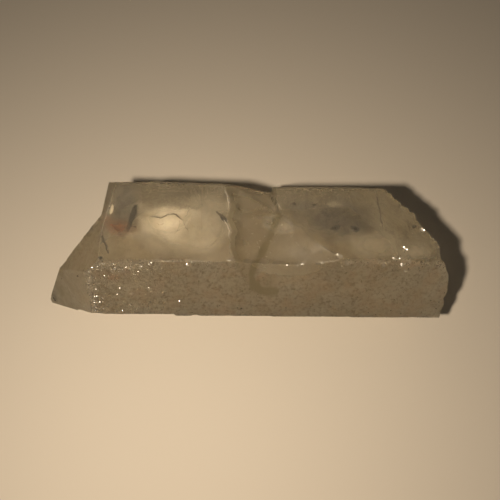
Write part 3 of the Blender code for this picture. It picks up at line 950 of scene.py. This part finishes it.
def makeCloudGroup():
    # soft clouds: how many per metre, how much they cover, how soft their borders are
    group, given, result = newGroup(
        "softClouds", {"Scale": 200.0, "Cover": 0.5, "Softness": 0.3, "Seed": 0.0}, ("Mask",))
    place = addNode(group, "ShaderNodeTexCoord").outputs["Object"]
    clouds = addNode(group, "ShaderNodeTexNoise", {
        "Vector": place, "W": given["Seed"], "Scale": given["Scale"],
        "Detail": 5.0, "Roughness": 0.62, "Distortion": 0.5,
    }, noise_dimensions="4D")
    edge = mathNode(group, "SUBTRACT", 1.0, given["Cover"])
    over = mathNode(group, "SUBTRACT", clouds.outputs[0], edge)
    soft = mathNode(group, "DIVIDE", over, given["Softness"])
    group.links.new(mathNode(group, "ADD", soft, 0.5, clamp=True), result["Mask"])
    return group


def makeGrainGroup():
    # small flat facets, each tilted its own way; the picked ones lean steeply together, as etch pits do
    group, given, result = newGroup(
        "etchedFacets", {"Scale": 2400.0, "Tilt": 0.5, "Picked": 0.1, "Steep": 0.8}, ("Height", "Mask"))
    place = addNode(group, "ShaderNodeTexCoord").outputs["Object"]
    cells = addNode(group, "ShaderNodeTexVoronoi", {"Vector": place, "Scale": given["Scale"]}).outputs
    offset = vectorMath(group, "SUBTRACT", place, cells["Position"])["Vector"]
    lean = vectorMath(group, "MULTIPLY_ADD", cells["Color"], (2, 2, 2), (-1, -1, -1))["Vector"]
    own = vectorMath(group, "DOT_PRODUCT", offset, lean)["Value"]
    shared = vectorMath(group, "DOT_PRODUCT", offset, quartzFinish["steepWay"])["Value"]
    red = addNode(group, "ShaderNodeSeparateXYZ", {0: cells["Color"]}).outputs["X"]
    draw = mathNode(group, "FRACT", times(group, red, 7.0))  # a second random number of the cell
    picked = mathNode(group, "LESS_THAN", draw, given["Picked"])
    steep = times(group, times(group, picked, given["Steep"]), shared)
    tilted = times(group, own, given["Tilt"])
    group.links.new(mathNode(group, "ADD", tilted, steep), result["Height"])
    group.links.new(picked, result["Mask"])
    return group


quartzFinish = {
    "clear": (0.97, 0.93, 0.82, 1.0),
    "smoky": (0.70, 0.65, 0.53, 1.0),
    "speck": (0.30, 0.24, 0.16, 1.0),
    "rusty": (0.82, 0.62, 0.44, 1.0),
    "fleck": (0.97, 0.92, 0.84, 1.0),
    # colour of the painted shade and of the darker zones
    "shadeDarkened": (0.45, 0.41, 0.27, 1.0),
    "clouds": (150.0, 0.5, 0.35),  # how many per metre, cover, softness and seed
    "mottle": (900.0, 0.5, 0.4, 4.0),
    "specks": (1500.0, 0.46, 0.15, 21.0),
    "speckPatches": (620.0, 0.5, 0.3, 23.0),
    "rust": (260.0, 0.42, 0.25, 9.0),
    "rustAmount": 0.6,
    "specksElsewhere": 0.10,
    "specksBetween": 0.3,
    "clearRoughness": 0.06,
    "etchedRoughness": 0.70,
    "cloudyRoughness": 0.06,
    "pitRoughness": 0.35,  # share of the roughness left in the steep pits
    "transmission": 0.90,
    "ior": 1.544,
    "absorption": (0.68, 0.64, 0.53, 1.0),
    "density": 28.0,  # per metre
    "facetScale": 2900.0,  # per metre
    "facetTilt": 0.20,
    "grainScale": 5600.0,
    "grainTilt": 0.36,
    "steepTilt": 0.8,
    "steepWay": (-0.20, -0.49, -0.85),
    "steepShare": 0.80,
    "steepFacets": 0.25,  # of the steep grains' share
}

cloudGroup = makeCloudGroup()
grainGroup = makeGrainGroup()


def cloudMask(tree, scale, cover, softness, seed=0.0):
    return placeGroup(tree, cloudGroup, Scale=scale, Cover=cover, Softness=softness, Seed=seed)["Mask"]


def quartzMaterial():
    f = quartzFinish
    material, tree, shader = newMaterial("clearQuartz")
    link = tree.links.new
    shader.inputs["Transmission Weight"].default_value = f["transmission"]
    shader.inputs["IOR"].default_value = f["ior"]
    worn, pitted, shadeDarkened, sparkly = [
        attribute(tree, name) for name in ("rough", "pitted", "shadeDarkened", "sparkly")]
    steep = times(tree, sparkly, f["steepShare"])
    facets = placeGroup(
        tree, grainGroup, Scale=f["facetScale"], Tilt=f["facetTilt"],
        Picked=times(tree, steep, f["steepFacets"]), Steep=f["steepTilt"])
    grain = placeGroup(
        tree, grainGroup, Scale=f["grainScale"], Tilt=f["grainTilt"], Picked=steep, Steep=f["steepTilt"])
    mottle = cloudMask(tree, *f["mottle"])
    smoky = times(tree, cloudMask(tree, *f["clouds"]), mathNode(tree, "ADD", mottle, 0.5))
    clusters = mixNumber(tree, f["specksBetween"], 1.0, cloudMask(tree, *f["speckPatches"]))
    specks = times(tree, cloudMask(tree, *f["specks"]), clusters)
    specks = times(tree, specks, mixNumber(tree, f["specksElsewhere"], 1.0, pitted))
    rust = times(tree, cloudMask(tree, *f["rust"]), times(tree, pitted, f["rustAmount"]))
    flecks = times(tree, grain["Mask"], pitted)
    colour = f["clear"]
    # the last mix paints shade along the scar's wall and crease and darkens the patch, block and tip
    for mask, tint in (
            (smoky, "smoky"), (specks, "speck"), (rust, "rusty"), (flecks, "fleck"), (shadeDarkened, "shadeDarkened")):
        colour = mixColour(tree, mask, colour, f[tint])
    link(colour, shader.inputs["Base Color"])
    rough = addNode(tree, "ShaderNodeMapRange", {
        "Value": worn, "To Min": f["clearRoughness"], "To Max": f["etchedRoughness"]}).outputs["Result"]
    smooth = times(tree, mathNode(tree, "MAXIMUM", facets["Mask"], grain["Mask"]), pitted)
    rough = times(tree, rough, mixNumber(tree, 1.0, f["pitRoughness"], smooth))
    cloudy = times(tree, mottle, f["cloudyRoughness"])
    link(mathNode(tree, "ADD", rough, cloudy), shader.inputs["Roughness"])
    relief = times(tree, mathNode(tree, "ADD", facets["Height"], grain["Height"]), pitted)
    bump = addNode(tree, "ShaderNodeBump", {"Height": relief, "Strength": 1.0, "Distance": 1.0})
    link(bump.outputs["Normal"], shader.inputs["Normal"])
    absorb = addNode(tree, "ShaderNodeVolumeAbsorption", {
        "Color": f["absorption"], "Density": f["density"]})
    link(absorb.outputs["Volume"], tree.nodes["Material Output"].inputs["Volume"])
    return material


quartz.data.materials.clear()
quartz.data.materials.append(quartzMaterial())
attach(quartz, "root")
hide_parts("quartz_crystal")

# sizes of the pieces inside the crystal are in mm
filmShape = {
    "thickness": 0.05,
    "uneven": ((0.45, 2.6), (0.25, 7.0)),  # amount and pitch of its outline's bays
    "fadeFrom": 0.1,  # from the middle, as a share of its reach
    "largestWave": 0.05,  # as a share of its width
    "waveSize": 2.5 * mm,
}
ribbonShape = {
    "columns": 10,  # for each stretch of its line
    "rows": 4,
    "raggedPitch": 2.3,
    "raggedDown": 0.1,
    "endFade": 0.25,
    "footFade": (1.6, 0.6),
    "endDepth": (0.3, 1.5),
    "endWidth": 0.25,
}
filmFinish = {
    "softness": 0.75,
    "fine": (5.0, 0.5, 0.5),  # pitch against the clouds', cover, softness
    "cloudless": 0.3,  # how thick the film is between its clouds
    "patchless": 0.65,
    "roughness": 0.55,
}


def hangs(vert):
    # a corner that holds on by a point, or by nothing
    return not vert.link_faces or sum(edge.is_boundary for edge in vert.link_edges) > 2


def filmSheet(middle, size, turn, strength, wave, cell, seed):
    # a thin wavy sheet with an uneven outline; "cover" fades towards its rim
    f = filmShape
    bm = bmesh.new()
    length, width = size[0] * mm, size[1] * mm
    bmesh.ops.create_grid(bm, x_segments=round(size[0] / cell), y_segments=round(size[1] / cell), size=0.5)
    cover = bm.verts.layers.float.new("cover")
    outside = []
    wave = min(wave, f["largestWave"] * min(size))
    for vert in bm.verts:
        spot = vert.co + Vector((0, 0, seed))
        uneven = 1 + sum(amount * noise.noise(spot * pitch) for amount, pitch in f["uneven"])
        reach = vert.co.length * 2 * uneven
        vert[cover] = strength * easeDown((reach - f["fadeFrom"]) / (1 - f["fadeFrom"]))
        if reach > 1:
            outside.append(vert)
        vert.co = Vector((vert.co.x * length, vert.co.y * width, 0))
        vert.co.z = wave * mm * noise.noise(Vector((vert.co.x, vert.co.y, seed * mm)) / f["waveSize"])
    while outside:
        bmesh.ops.delete(bm, geom=outside, context="VERTS")
        outside = [vert for vert in bm.verts if hangs(vert)]
    dropLooseEdges(bm)
    bmesh.ops.solidify(bm, geom=bm.faces[:], thickness=f["thickness"] * mm)
    turned = Euler([math.radians(angle) for angle in turn]).to_matrix().to_4x4()
    bmesh.ops.transform(bm, matrix=Matrix.Translation(Vector(middle) * mm + shift) @ turned, verts=bm.verts)
    return bm


def crackRibbon(points, width, ragged, strength, levels):
    # a thin upright slab along a line, between two depths; "cover" fades at its ends and its foot
    r = ribbonShape
    top, bottom, lean = levels
    bm = bmesh.new()
    parts = len(points) - 1
    bmesh.ops.create_grid(bm, x_segments=r["columns"] * parts, y_segments=r["rows"], size=0.5)
    for vert in drawOut(bm):
        vert.co.z = 1.0
    cover = bm.verts.layers.float.new("cover")
    for vert in bm.verts:
        along = min(max((vert.co.x + 0.5) * parts, 0.0), parts - 0.001)
        down = 0.5 - vert.co.y
        first, second = Vector(points[int(along)]), Vector(points[int(along) + 1])
        line = first.lerp(second, along - int(along))
        across = (second - first).orthogonal().normalized() * width * (vert.co.z - 0.5)
        jitter = noise.noise_vector(Vector((*line, down * r["raggedDown"])) * r["raggedPitch"]) * ragged
        ends = min(vert.co.x + 0.5, 0.5 - vert.co.x) * 2
        foot = r["footFade"][0] * down - r["footFade"][1]
        vert[cover] = strength * easeIn(ends / r["endFade"]) * easeDown(foot)
        deep = easeIn(r["endDepth"][0] + r["endDepth"][1] * ends)
        spot = line + jitter.xy + Vector(lean) * down
        height = skinHeight(spot.x * mm, spot.y * mm) - (top + (bottom - top) * down * deep) * mm
        spot = (spot + across * easeIn(r["endWidth"] + ends)) * mm
        vert.co = Vector((spot.x, spot.y, height)) + shift
    return bm


def joined(blocks):
    whole = bmesh.new()
    for bm in blocks:
        mesh = bpy.data.meshes.new("part")
        bm.to_mesh(mesh)
        bm.free()
        whole.from_mesh(mesh)
        bpy.data.meshes.remove(mesh)
    return whole


def filmMaterial(name, settings):
    # a film seen inside the crystal, thickest where its clouds and its middle meet
    f = filmFinish
    material, tree, shader = newMaterial(name)
    scale, cover, seed = settings["clouds"]
    finer, fineCover, fineSoftness = f["fine"]
    clouds = cloudMask(tree, scale, cover, f["softness"], seed)
    fine = cloudMask(tree, scale * finer, fineCover, fineSoftness, seed + 1)
    tree.links.new(mixColour(tree, fine, settings["light"], settings["dark"]), shader.inputs["Base Color"])
    thick = times(tree, mixNumber(tree, f["cloudless"], 1.0, clouds), attribute(tree, "cover"))
    thick = times(tree, thick, mixNumber(tree, f["patchless"], 1.0, fine))
    tree.links.new(times(tree, thick, settings["strength"], clamp=True), shader.inputs["Alpha"])
    shader.inputs["Roughness"].default_value = settings.get("roughness", f["roughness"])
    shader.inputs["Metallic"].default_value = settings.get("silver", 0.0)
    return material


def innerPiece(name, blocks, materialName, settings):
    obj = newObject(name, joined(blocks))
    for polygon in obj.data.polygons:
        polygon.use_smooth = True
    obj.data.materials.append(filmMaterial(materialName, settings))
    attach(obj, "root")
    print(name + ":", len(obj.data.polygons), "faces")


def filmPiece(name, materialName, settings):
    blocks = []
    for number, (middle, size, turn, strength, *own) in enumerate(settings["sheets"]):
        wave = own[0] if own else settings["wave"]
        seed = number + settings["seed"]
        blocks.append(filmSheet(middle, size, turn, strength, wave, settings["cell"], seed))
    innerPiece(name, blocks, materialName, settings)


def ribbonPiece(name, materialName, settings):
    blocks = []
    for points, width, ragged, strength, *own in settings["lines"]:
        levels = own[0] if own else settings["levels"]
        blocks.append(crackRibbon(points, width, ragged, strength, levels))
    innerPiece(name, blocks, materialName, settings)


healedVeils = {
    "sheets": (  # middle, size, turn in degrees, strength, and its own wave
        ((-14.5, 0.1, 20.0), (12.4, 7.8), (17, 1.4, 2), 0.78, 0.03),
        ((-11.6, -0.5, 18.7), (23.5, 15.6), (9, 3, 0), 0.78, 0.04),
        ((29.6, -5.2, 18.8), (6.0, 5.0), (6, 0, 0), 0.60, 0.05),
        ((4.2, 0.4, 19.9), (4.2, 3.6), (10, -4, 30), 0.50, 0.10),
        ((6.7, -0.4, 19.8), (4.4, 4.0), (10, -4, -40), 0.60, 0.10),
        ((15.8, 3.4, 18.4), (6.6, 4.4), (14, -8, 30), 0.35),
        ((22.5, -4.0, 18.6), (14.0, 6.6), (8, 0, -4), 0.45, 0.05),
        ((14.6, -9.6, 17.2), (4.6, 2.0), (58, 0, 22), 1.6),
        ((-24.8, 2.4, 20.6), (1.1, 3.4), (14, 4, -8), 1.0),
    ),
    "wave": 0.3,
    "cell": 0.25,
    "seed": 2.3,
    "light": (0.98, 0.92, 0.80, 1.0),
    "dark": (0.90, 0.82, 0.68, 1.0),
    "strength": 0.9,
    "clouds": (300.0, 0.85, 2.0),  # how many per metre, cover, seed
    "silver": 0.5,
    "roughness": 0.45,
}
filmPiece("healedVeils", "healedFilm", healedVeils)

# pale ribbons along the scar's rims and along the top face's front and left edges: painted highlights where
# these rims and edges catch the light
rimHighlights = {
    "lines": (  # points along it, width, how ragged, strength
        (((-0.4, 6.0), (1.2, 6.1), (2.9, 5.3), (4.3, 3.6), (5.4, 2.0)), 0.14, 0.12, 1.1),
        (((2.4, 6.3), (3.9, 5.3), (5.1, 3.6), (6.2, 1.6)), 0.12, 0.12, 1.0),
        (((-4.4, 6.4), (-3.9, 5.2), (-3.6, 3.6), (-3.65, 1.6)), 0.13, 0.14, 0.65),
        (((-4.5, 0.2), (-3.8, -0.9), (-3.4, -2.2), (-3.4, -4.0)), 0.13, 0.16, 0.65),
        (((-3.4, -4.6), (-3.3, -5.9), (-2.8, -7.8)), 0.08, 0.12, 0.30),
        (((-20.0, -7.95), (-14.0, -7.95), (-9.0, -7.95), (-5.0, -7.9)), 0.06, 0.05, 0.35),
        (((-24.4, 6.2), (-25.0, 3.0), (-25.7, -1.0), (-26.1, -5.0)), 0.08, 0.08, 0.30),
    ),
    "levels": (-0.01, 0.25, (0.0, 0.0)),  # depth of its top and its foot, and how far the foot leans
    "light": (0.97, 0.92, 0.82, 1.0),
    "dark": (0.85, 0.78, 0.66, 1.0),
    "strength": 2.2,
    "clouds": (1200.0, 0.65, 17.0),
    "silver": 0.3,
}
ribbonPiece("rimHighlights", "paintedRimHighlight", rimHighlights)

smokyVeils = {
    "sheets": (
        ((15.8, 1.2, 18.4), (18.8, 11.6), (5, 6, -8), 0.80),
        ((16.8, -0.2, 19.8), (12.0, 5.6), (4, 4, -4), 0.45),
        ((9.4, 3.0, 19.4), (7.6, 6.0), (4, 6, -40), 0.50),
        ((-22.7, 2.6, 19.2), (6.8, 11.0), (10, 20, 0), 1.1),
    ),
    "wave": 0.3,
    "cell": 0.25,
    "seed": 8.3,
    "light": (0.30, 0.27, 0.25, 1.0),
    "dark": (0.16, 0.14, 0.13, 1.0),
    "strength": 0.9,
    "clouds": (380.0, 0.5, 5.0),
}
filmPiece("smokyVeils", "smokyFilm", smokyVeils)

ironStain = {
    "sheets": (
        ((-23.1, -1.3, 20.2), (6.6, 3.8), (8, 6, -6), 0.95),
        ((-23.0, -0.9, 19.9), (6.0, 1.5), (8, 6, 0), 1.2),
        ((-25.2, 0.5, 20.3), (2.0, 2.4), (8, 6, 10), 0.65),
        ((-23.9, -9.6, 18.5), (3.4, 2.8), (60, 0, 0), 0.60),
        ((-21.2, -8.9, 19.6), (2.0, 1.6), (60, 0, 0), 0.45),
        ((-16.3, -10.6, 16.7), (1.6, 7.0), (57.1, 23.1, -14.3), 0.55),
        ((-5.0, -13.6, 11.4), (10.0, 1.6), (60, 0, 0), 0.45),
    ),
    "wave": 0.12,
    "cell": 0.15,
    "seed": 13.3,
    "light": (0.66, 0.29, 0.14, 1.0),
    "dark": (0.38, 0.18, 0.10, 1.0),
    "strength": 1.0,
    "clouds": (700.0, 0.55, 7.0),
}
filmPiece("ironStain", "ironStain", ironStain)

darkSpotsAndShade = {
    "sheets": (  # the first three make one slanting bar, painted shade along the corner step's edge seen through the top face
        ((-20.55, 2.5, 20.6), (1.0, 2.0), (4, 12, -8), 10.0),
        ((-20.85, 1.2, 20.6), (1.25, 3.9), (4, 12, -11), 4.5),
        ((-21.25, -0.4, 20.5), (0.9, 3.4), (4, 12, -11), 1.1),
        ((15.5, -1.2, 20.4), (2.2, 1.3), (0, 0, 10), 1.8),
        ((19.0, -1.4, 20.4), (1.8, 1.3), (0, 0, -20), 1.7),
        ((8.3, 3.4, 21.2), (0.9, 0.8), (0, 0, 0), 3.0),
        ((11.9, 3.2, 21.2), (1.0, 0.7), (0, 0, 0), 2.6),
        ((29.6, -1.1, 20.8), (1.1, 0.9), (0, 0, 30), 1.6),
        # painted shade in the chip hollow at the tip
        ((-39.09, -8.59, 3.87), (1.3, 1.6), (36, -10, 0), 12.0),
        ((-38.7, -8.36, 4.18), (0.9, 1.5), (36, -10, 0), 12.0),
        ((-25.6, -7.3, 21.75), (1.3, 0.7), (0, 0, -12), 3.0),
        ((-4.7, 0.65, 21.85), (3.4, 0.6), (0, 0, -45), 4.0),
        ((-4.25, 0.15, 21.8), (2.0, 0.9), (0, 0, -49), 4.0),
        ((-30.35, -8.9, 17.5), (1.1, 0.5), (25, -38, 20), 3.0),
        ((5.8, -14.3, 11.0), (0.9, 0.9), (60, 0, 0), 3.0),
        ((30.4, -14.3, 10.9), (0.9, 0.8), (60, 0, 0), 3.0),
    ),
    "wave": 0.08,
    "cell": 0.1,
    "seed": 21.3,
    "light": (0.055, 0.045, 0.035, 1.0),
    "dark": (0.02, 0.016, 0.012, 1.0),
    "strength": 1.0,
    "clouds": (900.0, 0.6, 3.0),
}
filmPiece("darkSpotsAndShade", "darkSpotAndShade", darkSpotsAndShade)

innerCracks = {
    "lines": (  # points along it, width, how ragged, strength, and its own levels
        (((-17.9, 0.6), (-16.6, 0.64), (-15.8, 0.4), (-14.9, 0.8), (-14.1, 1.24)), 0.11, 0.30, 1.2),
        (((-14.4, 1.1), (-13.2, 1.2), (-12.3, 0.5), (-11.2, -0.3)), 0.15, 0.30, 1.5),
        (((-12.1, 0.0), (-12.3, -1.4), (-12.9, -2.8)), 0.06, 0.25, 0.5),
        (((-11.8, 0.0), (-11.1, -1.3), (-10.4, -2.4)), 0.08, 0.25, 0.9),
        (((-11.7, 0.1), (-11.0, 1.0), (-10.6, 2.2)), 0.05, 0.25, 0.4),
        (((-16.6, -0.5), (-15.8, -0.9), (-15.0, -0.8)), 0.05, 0.3, 0.5),
        (((-26.1, -2.2), (-25.6, -3.6), (-24.9, -5.0), (-24.3, -6.6)), 0.20, 0.15, 1.2,
            (0.35, 1.0, (0.1, 0.2))),
        (((23.4, 6.0), (23.7, 2.2), (23.9, -2.2)), 0.06, 0.3, 0.35, (0.7, 2.0, (0.0, 0.0))),
        (((-5.9, 1.8), (-5.2, 1.1), (-4.5, 0.5), (-3.7, -0.4)), 0.16, 0.1, 1.4,
            (0.10, 0.8, (0.15, -0.1))),
        (((4.6, 1.3), (4.3, 0.4), (4.5, -0.4)), 0.08, 0.2, 0.6, (0.2, 0.6, (0.0, 0.0))),
    ),
    "levels": (0.3, 0.5, (0.0, 0.0)),
    "light": (0.16, 0.12, 0.07, 1.0),
    "dark": (0.06, 0.045, 0.03, 1.0),
    "strength": 1.7,
    "clouds": (1500.0, 0.65, 11.0),
}
ribbonPiece("innerCracks", "crackShadow", innerCracks)


studio = {
    "floorSize": 1.5,
    "floorGap": 0.03 * mm,
    "floorColour": (0.74, 0.68, 0.60, 1.0),
    "floorRoughness": 0.9,
    "keyPlace": (-22, -50, 112),  # mm
    "keySize": 6.5 * mm,
    "keyPower": 0.125,
    "keyColour": (1.0, 0.83, 0.62),
    "fillColour": (1.0, 0.88, 0.72, 1.0),
    "fillStrength": 0.04,
    "cameraPlace": (0.3, -42.2, 107.6),
    "cameraAim": (0.3, -5.9, 22.0),
    "fieldOfView": 50,
    "clipStart": 1.0 * mm,
}


def makeFloor():
    bm = bmesh.new()
    bmesh.ops.create_grid(bm, x_segments=1, y_segments=1, size=studio["floorSize"])
    floor = newObject("floor", bm)
    floor.location.z = -studio["floorGap"]
    material, tree, shader = newMaterial("palePaper")
    shader.inputs["Base Color"].default_value = studio["floorColour"]
    shader.inputs["Roughness"].default_value = studio["floorRoughness"]
    floor.data.materials.append(material)


def lookFrom(obj, place, aim):
    obj.location = place
    obj.rotation_euler = (aim - place).to_track_quat("-Z", "Y").to_euler()


def makeLights():
    lamp = bpy.data.lights.new("key", "AREA")
    lamp.shape = "DISK"
    lamp.size = studio["keySize"]
    lamp.energy = studio["keyPower"]
    lamp.color = studio["keyColour"]
    key = bpy.data.objects.new("key", lamp)
    bpy.context.scene.collection.objects.link(key)
    lookFrom(key, Vector(studio["keyPlace"]) * mm + shift, Vector((0, 0, 0)))
    key.visible_camera = False
    world = bpy.data.worlds.new("fill")
    bpy.context.scene.world = world
    world.use_nodes = True
    background = world.node_tree.nodes["Background"]
    background.inputs["Color"].default_value = studio["fillColour"]
    background.inputs["Strength"].default_value = studio["fillStrength"]


def makeCamera():
    camera = bpy.data.objects.new("camera", bpy.data.cameras.new("camera"))
    bpy.context.scene.collection.objects.link(camera)
    camera.data.angle = math.radians(studio["fieldOfView"])
    camera.data.clip_start = studio["clipStart"]
    lookFrom(camera, Vector(studio["cameraPlace"]) * mm + shift, Vector(studio["cameraAim"]) * mm + shift)
    bpy.context.scene.camera = camera


makeFloor()
makeLights()
makeCamera()
bpy.context.scene.view_settings.view_transform = "Standard"
print("floor, lights and camera placed")
